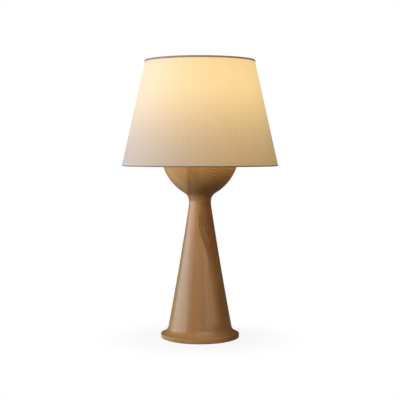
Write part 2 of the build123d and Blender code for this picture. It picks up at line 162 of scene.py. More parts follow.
def level_of(tree: Tree) -> Socket:
    """The height of the point on the piece, in metres."""
    return add(tree, "SeparateXYZ", {0: add(tree, "TexCoord", out="Object")}, out="Z")


@dataclass(frozen=True)
class Grain:
    """An uneven pattern whose grains have a real size along X, Y and Z, in millimetres.

    Detail, roughness and warp say how it is broken up, and band which part of it goes from 0 to 1.
    """

    size: Triple = (1.0, 1.0, 1.0)
    detail: float = 2.0
    roughness: float = 0.5
    warp: float = 0.0
    band: Pair | None = None

    def draw(self, tree: Tree) -> Socket:
        """Draws the pattern.

        Args:
            tree: The material's node tree.

        Returns:
            The pattern, from 0 to 1.
        """
        noise = add(tree, "TexNoise", {
            "Vector": point_in_mm(tree, self.size), "Scale": 1.0, "Detail": self.detail,
            "Roughness": self.roughness, "Distortion": self.warp})
        if self.band is None:
            return noise
        return add(tree, "MapRange", {0: noise, 1: self.band[0], 2: self.band[1]})


@dataclass(frozen=True)
class Skin:
    """What a process leaves on a surface: its grain, and how that takes the light.

    Gloss is the roughness where the grain is low and where it is high. Relief is how strongly the grain is
    raised and how far, in millimetres.
    """

    gloss: Pair
    relief: Pair = (0.0, 0.0)
    grain: Grain = Grain()
    metallic: float = 0.0
    specular: float = 0.5
    sheen: float = 0.0


@dataclass(frozen=True)
class Finish:
    """A real material and the way its surface was made."""

    name: str

    def material(self) -> bpy.types.Material:
        """Makes the material, or hands out the one that was made before.

        Returns:
            The Blender material of this finish.
        """
        found = bpy.data.materials.get(self.name)
        if found:
            return found
        made = bpy.data.materials.new(self.name)
        made.use_nodes = True
        made.node_tree.nodes.clear()
        add(made.node_tree, "OutputMaterial", {"Surface": self.paint(made.node_tree)})
        return made

    def paint(self, tree: Tree) -> Socket:
        """Builds the shader in a tree and returns its output."""
        raise NotImplementedError


@dataclass(frozen=True)
class Surface(Finish):
    """A finish whose colour, gloss and relief follow one pattern, from its plain colour to a deeper one."""

    colour: str
    deeper: str
    skin: Skin

    def pattern(self, tree: Tree) -> Socket:
        """Draws the pattern of the skin in a tree, from 0 to 1."""
        return self.skin.grain.draw(tree)

    def tint(self, tree: Tree, pattern: Socket) -> Socket:
        """Mixes the colour in a tree from the plain and the deeper one, by a pattern."""
        ends = {0: pattern, 6: linear(self.colour), 7: linear(self.deeper)}
        return add(tree, "Mix", ends, out=2, data_type="RGBA")

    def light(self, tree: Tree, pattern: Socket) -> dict[str, object]:
        """What the surface sends out by itself, as inputs of its shader: nothing, unless a kind says so."""
        return {}

    def paint(self, tree: Tree) -> Socket:
        """Builds the surface from its colour, its skin and its light.

        Args:
            tree: The material's node tree.

        Returns:
            The shader's output.
        """
        pattern = self.pattern(tree)
        smooth, rough = self.skin.gloss
        gloss = rough
        if smooth != rough:
            gloss = add(tree, "MapRange", {0: pattern, 3: smooth, 4: rough})
        inputs = {"Base Color": self.tint(tree, pattern), "Roughness": gloss, "Metallic": self.skin.metallic,
                  "Specular IOR Level": self.skin.specular, "Sheen Weight": self.skin.sheen}
        strength, depth = self.skin.relief
        if strength:
            inputs["Normal"] = add(tree, "Bump", {"Strength": strength, "Distance": depth * MM,
                                                  "Height": pattern})
        return add(tree, "BsdfPrincipled", inputs | self.light(tree, pattern))


@dataclass(frozen=True)
class Eye:
    """A closed figure in the grain, as over the stump of a twig: its middle and half sizes in millimetres."""

    middle: Triple
    size: Triple
    rings: float


@dataclass(frozen=True)
class Trunk:
    """The trunk that a board was sawn from: a point and the way of its pith, and a ring's width in mm."""

    heart: Triple
    ring: float
    pith: Triple = (0.0, 0.0, 1.0)


@dataclass(frozen=True)
class Stave:
    """One of the boards that a turning blank is glued up from, or a change of tone within one.

    Lengths are in millimetres. It starts at an X on the table's level and leans with height. Figure says how
    strongly the rings of its trunk show. Below a branch the grain steps aside, and the start with it. Each of
    its ends is a pair of heights, at which it is gone and whole. A glued edge is sharp; a change of tone has
    a wider one.
    """

    trunk: Trunk
    start: float
    figure: float
    tone: str
    lean: float = 0.0
    step: float = 0.0
    edge: float = 0.4
    ends: tuple[Pair, ...] = ()
    eyes: tuple[Eye, ...] = ()


@dataclass(frozen=True, kw_only=True)
class TurnedWood(Surface):
    """Glued-up elm, turned, sanded and sprayed with a satin lacquer.

    The eye gets long fibres, growth rings that draw arches where the lathe cuts them flat, boards that differ
    a little in tone, painted light and shade in some of those tones, and a soft film of gloss over them all.
    Lengths are in millimetres.
    """

    staves: tuple[Stave, ...]
    colour: str = "#CDAE8E"
    deeper: str = "#80562F"
    # Real fibres and pores are a tenth of this wide; they are drawn as coarse as the render can show.
    skin: Skin = Skin(gloss=(0.26, 0.34), relief=(0.12, 0.12), specular=0.3,
                      grain=Grain((1.5, 1.5, 55.0), detail=4.0, roughness=0.65, band=(0.3, 0.72)))
    pore: Grain = Grain((0.9, 0.9, 12.0), detail=1.0, band=(0.6, 0.7))
    cloud: Grain = Grain((30.0, 30.0, 170.0), band=(0.3, 0.7))
    # How much the fibres, the pores and the cloud darken the wood.
    shares: Triple = (0.16, 0.10, 0.14)
    # How dark the wood is at parts of a year: it darkens slowly, then fast, and the next spring is pale.
    year: tuple[Pair, ...] = ((0.0, 0.0), (1.0, 0.0), (0.5, 0.2), (0.86, 1.0))
    # The rings stray by this many years either way, from one end of the span to the other.
    wander: Grain = Grain((45.0, 45.0, 200.0), detail=1.0)
    wander_span: Pair = (0.25, 0.75)
    stray: float = 0.8
    # The grain steps aside between these two heights.
    branch: Pair = (230.0, 140.0)
    glue: str = "#7A5230"
    glue_line: float = 0.7
    glue_share: float = 0.2

    def bent(self, tree: Tree, point: Socket, height: Socket, step: float) -> Socket:
        """Moves points below the branch back by the step that the grain takes there.

        Args:
            tree: The material's node tree.
            point: The point on the piece, in millimetres.
            height: Its height, in millimetres.
            step: How far the grain steps aside.

        Returns:
            The place in the board that comes to lie at the point.
        """
        above, below = self.branch
        aside = add(tree, "MapRange", {0: height, 1: below, 2: above, 3: step, 4: 0.0},
                    interpolation_type="SMOOTHSTEP")
        back = add(tree, "CombineXYZ", {0: aside})
        return add(tree, "VectorMath", {0: point, 1: back}, operation="SUBTRACT")

    def ring_count(self, tree: Tree, place: Socket, stave: Stave, drift: Socket) -> Socket:
        """Counts the rings of one board.

        Args:
            tree: The material's node tree.
            place: The place in the board, in millimetres.
            stave: The board.
            drift: How many rings the growth strays by there.

        Returns:
            The count, which goes up by 1 from ring to ring.
        """
        trunk = stave.trunk
        arm = add(tree, "VectorMath", {0: place, 1: trunk.heart}, operation="SUBTRACT")
        along = Vector(trunk.pith).normalized()
        arm = add(tree, "VectorMath", {0: arm, 1: along}, operation="CROSS_PRODUCT")
        reach = add(tree, "VectorMath", {0: arm}, out="Value", operation="LENGTH")
        count = add(tree, "Math", {0: reach, 1: 1 / trunk.ring, 2: drift}, operation="MULTIPLY_ADD")
        for eye in stave.eyes:
            off = add(tree, "VectorMath", {0: place, 1: eye.middle}, operation="SUBTRACT")
            off = add(tree, "VectorMath", {0: off, 1: eye.size}, operation="DIVIDE")
            off = add(tree, "VectorMath", {0: off}, out="Value", operation="LENGTH")
            swell = add(tree, "MapRange", {0: off, 3: eye.rings, 4: 0.0}, interpolation_type="SMOOTHSTEP")
            count = add(tree, "Math", {0: count, 1: swell}, operation="ADD")
        return count

    def growth(self, tree: Tree) -> tuple[Socket, Socket | float, Socket | Colour, Socket | float]:
        """Lays the boards side by side.

        Args:
            tree: The material's node tree.

        Returns:
            The ring count, the strength of the figure, the board's tone and the glue lines.
        """
        point = point_in_mm(tree)
        height = add(tree, "SeparateXYZ", {0: point}, out="Z")
        low, high = self.wander_span
        drift = add(tree, "MapRange", {0: self.wander.draw(tree), 1: low, 2: high, 3: -self.stray,
                                       4: self.stray}, clamp=False)
        first = self.staves[0]
        count = self.ring_count(tree, point, first, drift)
        figure, tone, lines = first.figure, linear(first.tone), 0.0
        for stave in self.staves[1:]:
            place = self.bent(tree, point, height, stave.step)
            across = add(tree, "VectorMath", {0: place, 1: (1.0, 0.0, -stave.lean)}, out="Value",
                         operation="DOT_PRODUCT")
            inside = add(tree, "MapRange", {0: across, 1: stave.start, 2: stave.start + stave.edge})
            for gone, whole in stave.ends:
                left = add(tree, "MapRange", {0: height, 1: gone, 2: whole}, interpolation_type="SMOOTHSTEP")
                inside = add(tree, "Math", {0: inside, 1: left}, operation="MULTIPLY")
            rings = self.ring_count(tree, place, stave, drift)
            count = add(tree, "Mix", {0: inside, 2: count, 3: rings})
            figure = add(tree, "Mix", {0: inside, 2: figure, 3: stave.figure})
            tone = add(tree, "Mix", {0: inside, 6: tone, 7: linear(stave.tone)}, out=2, data_type="RGBA")
            if stave.edge <= self.glue_line:
                seam = add(tree, "Math", {0: across, 1: stave.start, 2: self.glue_line / 2},
                           operation="COMPARE")
                lines = add(tree, "Math", {0: lines, 1: seam}, operation="MAXIMUM")
        return count, figure, tone, lines

    def tint(self, tree: Tree, pattern: Socket) -> Socket:
        """Mixes the wood's colour from its rings, fibres, pores, boards and glue lines.

        Args:
            tree: The material's node tree.
            pattern: The fibres.

        Returns:
            The colour.
        """
        count, figure, tone, lines = self.growth(tree)
        part = add(tree, "Math", {0: count}, operation="FRACT")
        late = add(tree, "ValToRGB", {0: part}, stops=[(at, (dark,) * 3 + (1.0,)) for at, dark in self.year])
        depth = add(tree, "Math", {0: late, 1: figure}, operation="MULTIPLY")
        for streak, share in zip((pattern, self.pore.draw(tree), self.cloud.draw(tree)), self.shares):
            depth = add(tree, "Math", {0: streak, 1: share, 2: depth}, operation="MULTIPLY_ADD")
        wood = super().tint(tree, depth)
        wood = add(tree, "Mix", {0: 1.0, 6: wood, 7: tone}, out=2, data_type="RGBA", blend_type="MULTIPLY")
        seam = add(tree, "Math", {0: lines, 1: self.glue_share}, operation="MULTIPLY")
        return add(tree, "Mix", {0: seam, 6: wood, 7: linear(self.glue)}, out=2, data_type="RGBA")


@dataclass(frozen=True)
class Glow:
    """The light that the lit bulb sends through the shade's cloth.

    What passes falls off with the square of the bulb's distance and with the slant at which it meets the
    cloth. The globe and the film spread it, so that the distance counts from a length away; spill is the even
    light that the white inside of the shade throws about.
    """

    centre: Triple
    lean: float
    colour: str = "#FFE299"
    direct: float = 0.0157
    spread: float = 80.0 * MM
    spill: float = 0.0362

    def strength(self, tree: Tree) -> Socket:
        """Works out how strongly each point of the cloth glows.

        Args:
            tree: The cloth's node tree.

        Returns:
            The emission strength at the point.
        """
        here = add(tree, "TexCoord", out="Object")
        away = add(tree, "VectorMath", {0: here, 1: self.centre}, operation="SUBTRACT")
        flat = add(tree, "VectorMath", {0: away, 1: (1.0, 1.0, 0.0)}, operation="MULTIPLY")
        reach = add(tree, "VectorMath", {0: flat}, out="Value", operation="LENGTH")
        up = add(tree, "SeparateXYZ", {0: away}, out="Z")
        facing = add(tree, "Math", {0: up, 1: math.tan(self.lean), 2: reach}, operation="MULTIPLY_ADD")
        facing = add(tree, "Math", {0: facing, 1: math.cos(self.lean)}, operation="MULTIPLY")
        square = add(tree, "VectorMath", {0: away, 1: away}, out="Value", operation="DOT_PRODUCT")
        square = add(tree, "Math", {0: square, 1: self.spread ** 2}, operation="ADD")
        cube = add(tree, "Math", {0: square, 1: 1.5}, operation="POWER")
        share = add(tree, "Math", {0: facing, 1: cube}, operation="DIVIDE")
        return add(tree, "Math", {0: share, 1: self.direct, 2: self.spill}, operation="MULTIPLY_ADD")


@dataclass(frozen=True, kw_only=True)
class ShadeCloth(Surface):
    """Plain-woven cotton and linen, bonded to the film behind it and lit through.

    The eye gets an ivory sheet with faint upright slubs, brightest in front of the bulb.
    """

    glow: Glow
    lower_edge: float
    colour: str = "#C2B4AE"
    deeper: str = "#BCADA7"
    skin: Skin = Skin(gloss=(0.9, 0.9), relief=(0.15, 0.15), specular=0.15, sheen=0.08)
    mean_radius: float = 128.0 * MM
    # Threads lie 0.4 mm apart; slubs and picks are drawn this far round and up the cloth, in millimetres, to
    # show in the render. Thick threads pass a little less light than thin ones.
    slub: Pair = (3.2, 90.0)
    pick: Pair = (26.0, 1.6)
    thread_detail: float = 3.0
    thread_roughness: float = 0.6
    weave_band: Pair = (0.7, 1.3)
    passed: Pair = (1.018, 0.976)
    # Just above the lower wire the cloth's glow is painted brighter, in a pale band.
    painted_band: float = 3.4 * MM
    painted_band_fade: float = 1.2 * MM
    painted_band_gain: float = 1.3

    def threads(self, tree: Tree, grain: Pair) -> Socket:
        """Draws threads on the rolled-out cloth.

        Args:
            tree: The cloth's node tree.
            grain: How far one thread's unevenness reaches round and up the cloth, in millimetres.

        Returns:
            A pattern from 0 to 1.
        """
        axes = add(tree, "SeparateXYZ", {0: add(tree, "TexCoord", out="Object")}).node.outputs
        back = add(tree, "Math", {0: axes["Y"], 1: -1.0}, operation="MULTIPLY")
        turn = add(tree, "Math", {0: axes["X"], 1: back}, operation="ARCTAN2")
        across = add(tree, "Math", {0: turn, 1: self.mean_radius / (grain[0] * MM)}, operation="MULTIPLY")
        up = add(tree, "Math", {0: axes["Z"], 1: 1 / (grain[1] * MM)}, operation="MULTIPLY")
        place = add(tree, "CombineXYZ", {0: across, 1: up})
        return add(tree, "TexNoise", {"Vector": place, "Scale": 1.0, "Detail": self.thread_detail,
                                      "Roughness": self.thread_roughness})

    def pattern(self, tree: Tree) -> Socket:
        """Draws the weave.

        Args:
            tree: The cloth's node tree.

        Returns:
            A pattern from 0 at thin threads to 1 at thick ones.
        """
        both = {0: self.threads(tree, self.slub), 1: self.threads(tree, self.pick)}
        weave = add(tree, "Math", both, operation="ADD")
        return add(tree, "MapRange", {0: weave, 1: self.weave_band[0], 2: self.weave_band[1]})

    def light(self, tree: Tree, pattern: Socket) -> dict[str, object]:
        """Lets the bulb's light through.

        Args:
            tree: The cloth's node tree.
            pattern: The weave.

        Returns:
            The inputs of the shader for the light.
        """
        passed = add(tree, "MapRange", {0: pattern, 3: self.passed[0], 4: self.passed[1]})
        glow = add(tree, "Math", {0: self.glow.strength(tree), 1: passed}, operation="MULTIPLY")
        # Painted brighter glow in a band just above the lower edge.
        band_top = self.lower_edge + self.painted_band
        brightened = add(tree, "MapRange", {0: level_of(tree), 1: band_top, 2: band_top + self.painted_band_fade,
                                        3: self.painted_band_gain, 4: 1.0})
        glow = add(tree, "Math", {0: glow, 1: brightened}, operation="MULTIPLY")
        return {"Emission Color": linear(self.glow.colour), "Emission Strength": glow}


@dataclass(frozen=True, kw_only=True)
class LiningFilm(Surface):
    """White styrene film, calendered, behind the cloth: a smooth, slightly shiny white, lit by the bulb.

    The rollers leave a faint cloud. Its glow is painted light, brightest at the lower edge, dimmer higher up.
    """

    lower_edge: float
    upper_edge: float
    colour: str = "#E2DED4"
    deeper: str = "#D9D4C8"
    skin: Skin = Skin(gloss=(0.38, 0.5), grain=Grain((14.0, 14.0, 14.0)))
    # The painted glow's colour, and its strength at the lower edge and higher up.
    glow: str = "#FFEBCC"
    painted_glow_low: float = 1.95
    painted_glow_high: float = 0.25

    def light(self, tree: Tree, pattern: Socket) -> dict[str, object]:
        """Paints a glow on the film, brighter at its lower edge."""
        lit = add(tree, "MapRange", {0: level_of(tree), 1: self.lower_edge, 2: self.upper_edge,
                                     3: self.painted_glow_low, 4: self.painted_glow_high}, interpolation_type="SMOOTHSTEP")
        return {"Emission Color": linear(self.glow), "Emission Strength": lit}


@dataclass(frozen=True)
class WovenTape(Surface):
    """Cotton tape, folded and glued over the shade's wire: close ribs across a matt taupe."""

    colour: str = "#C1B4B1"
    deeper: str = "#AB9D97"
    skin: Skin = Skin(gloss=(0.92, 0.92), relief=(0.4, 0.1), specular=0.15, sheen=0.1)
    # Real ribs are 0.6 mm apart; they are drawn at twice that.
    rib: float = 1.2
    rib_waver: float = 0.6
    rib_share: float = 0.5
    wear: Grain = Grain((15.0, 15.0, 15.0))

    def pattern(self, tree: Tree) -> Socket:
        """Draws the ribs in a tree."""
        wave = {"Vector": point_in_mm(tree, (self.rib,) * 3), "Scale": 0.5, "Distortion": self.rib_waver,
                "Detail": 1.0}
        return add(tree, "TexWave", wave, wave_type="BANDS", bands_direction="DIAGONAL")

    def tint(self, tree: Tree, pattern: Socket) -> Socket:
        """Mixes the colour in a tree from the ribs and the wear."""
        used = {0: pattern, 1: self.rib_share, 2: self.wear.draw(tree)}
        return super().tint(tree, add(tree, "Math", used, operation="MULTIPLY_ADD", use_clamp=True))


@dataclass(frozen=True)
class PressedFelt(Surface):
    """Wool felt, pressed: matted fibres with no direction, dark and without shine."""

    colour: str = "#544E48"
    deeper: str = "#37322E"
    skin: Skin = Skin(gloss=(1.0, 1.0), relief=(0.7, 0.4), specular=0.1, sheen=0.4,
                      grain=Grain((1.4, 1.4, 1.4), detail=5.0, roughness=0.7, warp=1.5))


class MouldFace(Enum):
    """How the mould's own face was finished, and so which skin it leaves."""

    SPARKED = Skin(gloss=(0.49, 0.61), relief=(0.15, 0.05), grain=Grain((0.5, 0.5, 0.5)))
    POLISHED = Skin(gloss=(0.16, 0.28), relief=(0.15, 0.05), grain=Grain((2.5, 2.5, 2.5)))
    BLASTED = Skin(gloss=(0.66, 0.78), relief=(0.15, 0.05), grain=Grain((0.9, 0.9, 0.9)))


@dataclass(frozen=True)
class MouldedPlastic(Surface):
    """A moulded plastic: one colour through, with the grain of its mould and a faint flow cloud."""

    skin: Skin = MouldFace.SPARKED.value
    flow: Grain = Grain((9.0, 9.0, 9.0))

    def tint(self, tree: Tree, pattern: Socket) -> Socket:
        """Mixes the colour in a tree by the flow cloud and not by the mould's grain."""
        return super().tint(tree, self.flow.draw(tree))


@dataclass(frozen=True)
class PowderCoat(Surface):
    """Steel under baked powder: a tough even colour with the skin of an orange."""

    skin: Skin = Skin(gloss=(0.36, 0.48), relief=(0.2, 0.06), grain=Grain((1.6, 1.6, 1.6), detail=1.0))


def metal_skin(marks: Triple, roughness: float = 0.32) -> Skin:
    """The skin of a metal with tool marks of a size along X, Y and Z, in millimetres."""
    gloss = (roughness - 0.08, roughness + 0.1)
    return Skin(gloss, relief=(0.1, 0.03), grain=Grain(marks, detail=3.0), metallic=1.0)


class MetalLay(Enum):
    """Which way the tool marks of a metal piece run, and how bright they leave it."""

    TURNED = metal_skin((6.0, 6.0, 0.25))
    TURNED_BRIGHT = metal_skin((6.0, 6.0, 0.25), roughness=0.26)
    ROLLED = metal_skin((0.3, 8.0, 8.0))
    STAMPED = metal_skin((1.2, 1.2, 1.2))
    STAMPED_BRIGHT = metal_skin((1.2, 1.2, 1.2), roughness=0.28)


@dataclass(frozen=True)
class BareMetal(Surface):
    """Bare or plated metal: bright, with the marks of the tool that made it."""


@dataclass(frozen=True)
class Steatite(Surface):
    """Unglazed ceramic, pressed and fired: chalky, with small dark specks."""

    colour: str = "#ECE8DE"
    deeper: str = "#B9B1A2"
    skin: Skin = Skin(gloss=(0.8, 0.8), relief=(0.2, 0.05), grain=Grain((0.7, 0.7, 0.7)))
    specks: Pair = (0.66, 0.74)

    def tint(self, tree: Tree, pattern: Socket) -> Socket:
        """Mixes the colour in a tree, with specks where the grain is highest."""
        specks = {0: pattern, 1: self.specks[0], 2: self.specks[1]}
        return super().tint(tree, add(tree, "MapRange", specks))


@dataclass(frozen=True)
class OpalGlobe(Finish):
    """Frosted polycarbonate, blown thin and lit from within: an even warm white that fades at its seam."""

    seam: float
    crown: float
    body: str = "#F4F1EA"
    glow: str = "#FFD6A4"
    strength: float = 9.0
    seam_share: float = 0.55
    frost: Grain = Grain((0.6, 0.6, 0.6))
    gloss: Pair = (0.4, 0.55)

    def paint(self, tree: Tree) -> Socket:
        """Builds the globe, a little dimmer where the board is below its seam.

        Args:
            tree: The material's node tree.

        Returns:
            The shader's output.
        """
        lit = add(tree, "MapRange", {0: level_of(tree), 1: self.seam, 2: (self.seam + self.crown) / 2,
                                     3: self.seam_share * self.strength, 4: self.strength})
        gloss = add(tree, "MapRange", {0: self.frost.draw(tree), 3: self.gloss[0], 4: self.gloss[1]})
        return add(tree, "BsdfPrincipled", {"Base Color": linear(self.body), "Roughness": gloss,
                                            "Emission Color": linear(self.glow), "Emission Strength": lit})


@dataclass(frozen=True, kw_only=True)
class LightBoard(Surface):
    """An aluminium board under white solder mask, with yellow phosphor on the chips above its face."""

    chip_level: float
    colour: str = "#F1F0EA"
    deeper: str = "#E2E0D8"
    phosphor: str = "#F2D04B"
    skin: Skin = Skin(gloss=(0.4, 0.4))

    def tint(self, tree: Tree, pattern: Socket) -> Socket:
        """Mixes the colour of the mask and the chips.

        Args:
            tree: The material's node tree.
            pattern: The grain of the mask.

        Returns:
            The colour.
        """
        chip = add(tree, "Math", {0: level_of(tree), 1: self.chip_level}, operation="GREATER_THAN")
        mask = super().tint(tree, pattern)
        return add(tree, "Mix", {0: chip, 6: mask, 7: linear(self.phosphor)}, out=2, data_type="RGBA")


def seen_ray(tree: Tree, way: Socket) -> Socket:
    """How much of the studio's white a ray gets: all for the lens, and the lit side's for mirrors and glass.

    Args:
        tree: The node tree to add to.
        way: A vector from the lamp towards the place that the ray ends at.

    Returns:
        A share from 0 to 1.
    """
    path = add(tree, "LightPath").node.outputs
    flat = add(tree, "VectorMath", {0: way, 1: (1.0, 1.0, 0.0)}, operation="MULTIPLY")
    flat = add(tree, "VectorMath", {0: flat}, operation="NORMALIZE")
    side = add(tree, "VectorMath", {0: flat, 1: LIT_SIDE}, out="Value", operation="DOT_PRODUCT")
    side = add(tree, "MapRange", {0: side, 1: LIT_EDGE[0], 2: LIT_EDGE[1]}, interpolation_type="SMOOTHSTEP")
    shiny = {0: path["Is Glossy Ray"], 1: path["Is Transmission Ray"]}
    mirror = add(tree, "Math", {0: add(tree, "Math", shiny, operation="MAXIMUM"), 1: side},
                 operation="MULTIPLY")
    return add(tree, "Math", {0: path["Is Camera Ray"], 1: mirror}, operation="MAXIMUM")


@dataclass(frozen=True)
class PaperSweep(Finish):
    """The studio's white paper: the lens and shiny things see it as white, with a soft shadow by the foot.

    It throws little light back up at the lamp, as a sheet with black under it does.
    """

    colour: str = "#D2D2D0"
    bounced: str = "#6E6E6C"
    roughness: float = 0.9
    shadow: float = 0.10
    near: float = 0.08
    far: float = 0.22

    def paint(self, tree: Tree) -> Socket:
        """Builds the paper, whiter the further it lies from the foot.

        Args:
            tree: The material's node tree.

        Returns:
            The shader's output.
        """
        here = add(tree, "TexCoord", out="Object")
        away = add(tree, "VectorMath", {0: here}, out="Value", operation="LENGTH")
        white = add(tree, "MapRange", {0: away, 1: self.near, 2: self.far, 3: 1 - self.shadow, 4: 1.0},
                    interpolation_type="SMOOTHSTEP")
        bounce = add(tree, "LightPath", out="Is Diffuse Ray")
        tint = add(tree, "Mix", {0: bounce, 6: linear(self.colour), 7: linear(self.bounced)}, out=2,
                   data_type="RGBA")
        paper = add(tree, "BsdfPrincipled", {"Base Color": tint, "Roughness": self.roughness,
                                             "Specular IOR Level": 0.0})
        seen = add(tree, "Math", {0: seen_ray(tree, here), 1: white}, operation="MULTIPLY")
        bright = add(tree, "Emission", {"Color": WHITE, "Strength": 1.0})
        return add(tree, "MixShader", {0: seen, 1: paper, 2: bright})


def eased(points: Outline, rounds: Sequence[float], steps: int = 6) -> list[Pair]:
    """Rounds corners of a closed outline.

    Args:
        points: The corners, as radius and height.
        rounds: How far from its corner each round starts, for the corners from the second one on.
        steps: How many pieces each round has.

    Returns:
        The outline with its rounds.
    """
    made = []
    for place, corner in enumerate(points):
        here = Vector(corner)
        if not 1 <= place <= len(rounds):
            made.append(tuple(here))
            continue
        before = Vector(points[place - 1]) - here
        after = Vector(points[(place + 1) % len(points)]) - here
        start = here + before.normalized() * rounds[place - 1]
        end = here + after.normalized() * rounds[place - 1]
        for step in range(steps + 1):
            share = step / steps
            made.append(tuple(start.lerp(here, share).lerp(here.lerp(end, share), share)))
    return made


def finish_mesh(mesh: bpy.types.Mesh) -> None:
    """Joins doubled points, turns the faces outwards and shades a mesh smooth up to its sharp edges.

    Args:
        mesh: The mesh, which is changed.
    """
    work = bmesh.new()
    work.from_mesh(mesh)
    bmesh.ops.remove_doubles(work, verts=work.verts, dist=WELD)
    bmesh.ops.recalc_face_normals(work, faces=work.faces)
    work.to_mesh(mesh)
    work.free()
    mesh.shade_smooth()
    mesh.set_sharp_from_angle(angle=SHARP_ANGLE)


def grid_piece(name: str, rows: Sequence[Sequence[Triple]], round_rows: bool = False,
               round_columns: bool = False) -> Thing:
    """Makes a piece from rows of points.

    Args:
        name: The piece's name.
        rows: The points, row by row.
        round_rows: Whether each row closes on itself.
        round_columns: Whether the last row joins the first.

    Returns:
        The new object.
    """
    width = len(rows[0])
    points = [point for row in rows for point in row]
    faces = []
    for row in range(len(rows) if round_columns else len(rows) - 1):
        for column in range(width if round_rows else width - 1):
            low, high = row * width, (row + 1) % len(rows) * width
            side = (column + 1) % width
            faces.append((low + column, low + side, high + side, high + column))
    mesh = bpy.data.meshes.new(name)
    mesh.from_pydata(points, [], faces)
    finish_mesh(mesh)
    piece = bpy.data.objects.new(name, mesh)
    bpy.context.scene.collection.objects.link(piece)
    return piece


def turned_piece(name: str, outline: Outline, relief: Relief | None = None,
                 steps: int = STEPS_ROUND) -> Thing:
    """Turns a closed outline about the lamp's axis.

    Args:
        name: The piece's name.
        outline: The section, as radius and height in metres.
        relief: Gives the radius at a radius, height and angle, for threads and waves.
        steps: How many steps there are round the axis.

    Returns:
        The new object.
    """
    rows = []
    for radius, height in outline:
        row = []
        for step in range(steps):
            angle = math.tau * step / steps
            reach = relief(radius, height, angle) if relief else radius
            row.append((reach * math.cos(angle), reach * math.sin(angle), height))
        rows.append(row)
    return grid_piece(name, rows, round_rows=True, round_columns=True)


def dress(thing: Thing, finish: Finish) -> None:
    """Puts one finish on the whole of a piece and reports it.

    Args:
        thing: The piece.
        finish: Its finish.
    """
    thing.data.materials.clear()
    thing.data.materials.append(finish.material())
    log.info("%s: %s", thing.name, finish.name)


def dress_nodes(nodes: Mapping[str, Thing], finishes: Mapping[str, Finish]) -> None:
    """Dresses the nodes that finishes are listed for."""
    for name, finish in finishes.items():
        dress(nodes[name], finish)


@dataclass(frozen=True)
class Thread:
    """A rounded screw thread on a turned surface, in metres."""

    crest: float
    depth: float
    pitch: float
    bottom: float
    top: float

    def radius(self, radius: float, height: float, angle: float) -> float:
        """The radius of the threaded surface at one point.

        Args:
            radius: The outline's radius there.
            height: The point's height.
            angle: The point's angle round the axis.

        Returns:
            The crest's radius less the groove, which runs out at both ends; other surfaces stay as they are.
        """
        if abs(radius - self.crest) > CLOSE or not self.bottom <= height <= self.top:
            return radius
        fade = min(1.0, (height - self.bottom) / self.pitch, (self.top - height) / self.pitch)
        groove = 0.5 + 0.5 * math.cos(math.tau * height / self.pitch - angle)
        return radius - self.depth * fade * groove

    def levels(self, steps: int = 10) -> list[float]:
        """The heights of the rows that draw the thread, from the bottom to the top."""
        count = round((self.top - self.bottom) / self.pitch * steps)
        return [self.bottom + (self.top - self.bottom) * i / count for i in range(count + 1)]


ZINC = BareMetal("zinc_plated_steel", "#C4C6C8", "#9A9C9F", MetalLay.TURNED.value)


